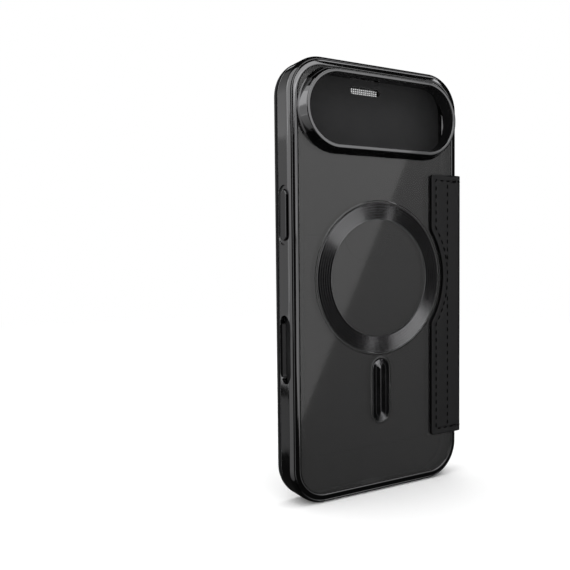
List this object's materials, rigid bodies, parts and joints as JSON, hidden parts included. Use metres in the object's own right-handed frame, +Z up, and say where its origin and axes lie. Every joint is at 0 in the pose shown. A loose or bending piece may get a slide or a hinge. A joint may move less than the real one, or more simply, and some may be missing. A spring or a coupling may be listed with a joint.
{
  "type": "phone wallet case",
  "caption": "Folio wallet case for a thin phone: glossy black bumper with a clear back, a grooved magnetic ring and a black leather cover that opens like a book",
  "frame": {"origin": "centre of the base of the closed case, standing upright", "axes": "+Z up the height of the case, +Y out of the rear (camera) side, +X away from the spine, so the cover faces -Y"},
  "size_m": [0.0794, 0.0154, 0.16],
  "materials": {
    "plated_shell": "black plated TPU, mirror gloss",
    "plated_key": "black plated, mirror gloss",
    "smoked_panel": "clear smoked polycarbonate, gloss",
    "dark_metal": "black chrome with fine turned grooves",
    "magnet": "nickel plated",
    "steel_strip": "plain",
    "adhesive": "double-sided tape",
    "black_leather": "smooth fine grain, semi-gloss",
    "core_board": "matte",
    "foam": "soft",
    "lining": "microfibre, matte",
    "thread": "waxed thread",
    "grille_metal": "satin silver mesh"
  },
  "bodies": {
    "shell": {"bumper_frame": "plated_shell", "back_panel": "smoked_panel", "camera_frame": "plated_shell", "ring_trim": "dark_metal", "ring_magnets": "magnet", "ring_backing": "adhesive", "bar_trim": "dark_metal", "bar_magnet": "magnet", "bar_backing": "adhesive", "catch_strips": "steel_strip", "tab_leather": "black_leather", "tab_board": "core_board", "tab_adhesive": "adhesive", "tab_stitching": "thread", "rear_fold": "black_leather"},
    "power_key": {"power_key": "plated_key"},
    "action_key": {"action_key": "plated_key"},
    "volume_up_key": {"volume_up_key": "plated_key"},
    "volume_down_key": {"volume_down_key": "plated_key"},
    "spine": {"spine_leather": "black_leather", "spine_board": "core_board", "spine_lining": "lining", "spine_stitching": "thread", "front_fold": "black_leather"},
    "cover": {"cover_leather": "black_leather", "cover_padding": "foam", "cover_board": "core_board", "cover_lining": "lining", "cover_magnets": "magnet", "cover_stitching": "thread", "earpiece_grille": "grille_metal", "card_pocket": "lining", "pocket_seam": "lining", "pocket_stitching": "thread"}
  },
  "joints": [
    {"name": "spine_hinge", "type": "hinge", "parent": "shell", "child": "spine", "pos_m": [-0.0389, 0.0035, 0.0694], "axis": [0, 0, -1], "range_deg": [0, 180], "stiffness_Nm_per_rad": 0.01},
    {"name": "cover_hinge", "type": "hinge", "parent": "spine", "child": "cover", "pos_m": [-0.0389, -0.0063, 0.0694], "axis": [0, 0, -1], "range_deg": [0, 180], "stiffness_Nm_per_rad": 0.01},
    {"name": "power_key_press", "type": "slide", "parent": "shell", "child": "power_key", "axis": [-1, 0, 0], "range_m": [0, 0.0003], "stiffness_N_per_m": 1000},
    {"name": "action_key_press", "type": "slide", "parent": "shell", "child": "action_key", "axis": [1, 0, 0], "range_m": [0, 0.0003], "stiffness_N_per_m": 1000},
    {"name": "volume_up_key_press", "type": "slide", "parent": "shell", "child": "volume_up_key", "axis": [1, 0, 0], "range_m": [0, 0.0003], "stiffness_N_per_m": 1000},
    {"name": "volume_down_key_press", "type": "slide", "parent": "shell", "child": "volume_down_key", "axis": [1, 0, 0], "range_m": [0, 0.0003], "stiffness_N_per_m": 1000}
  ]
}
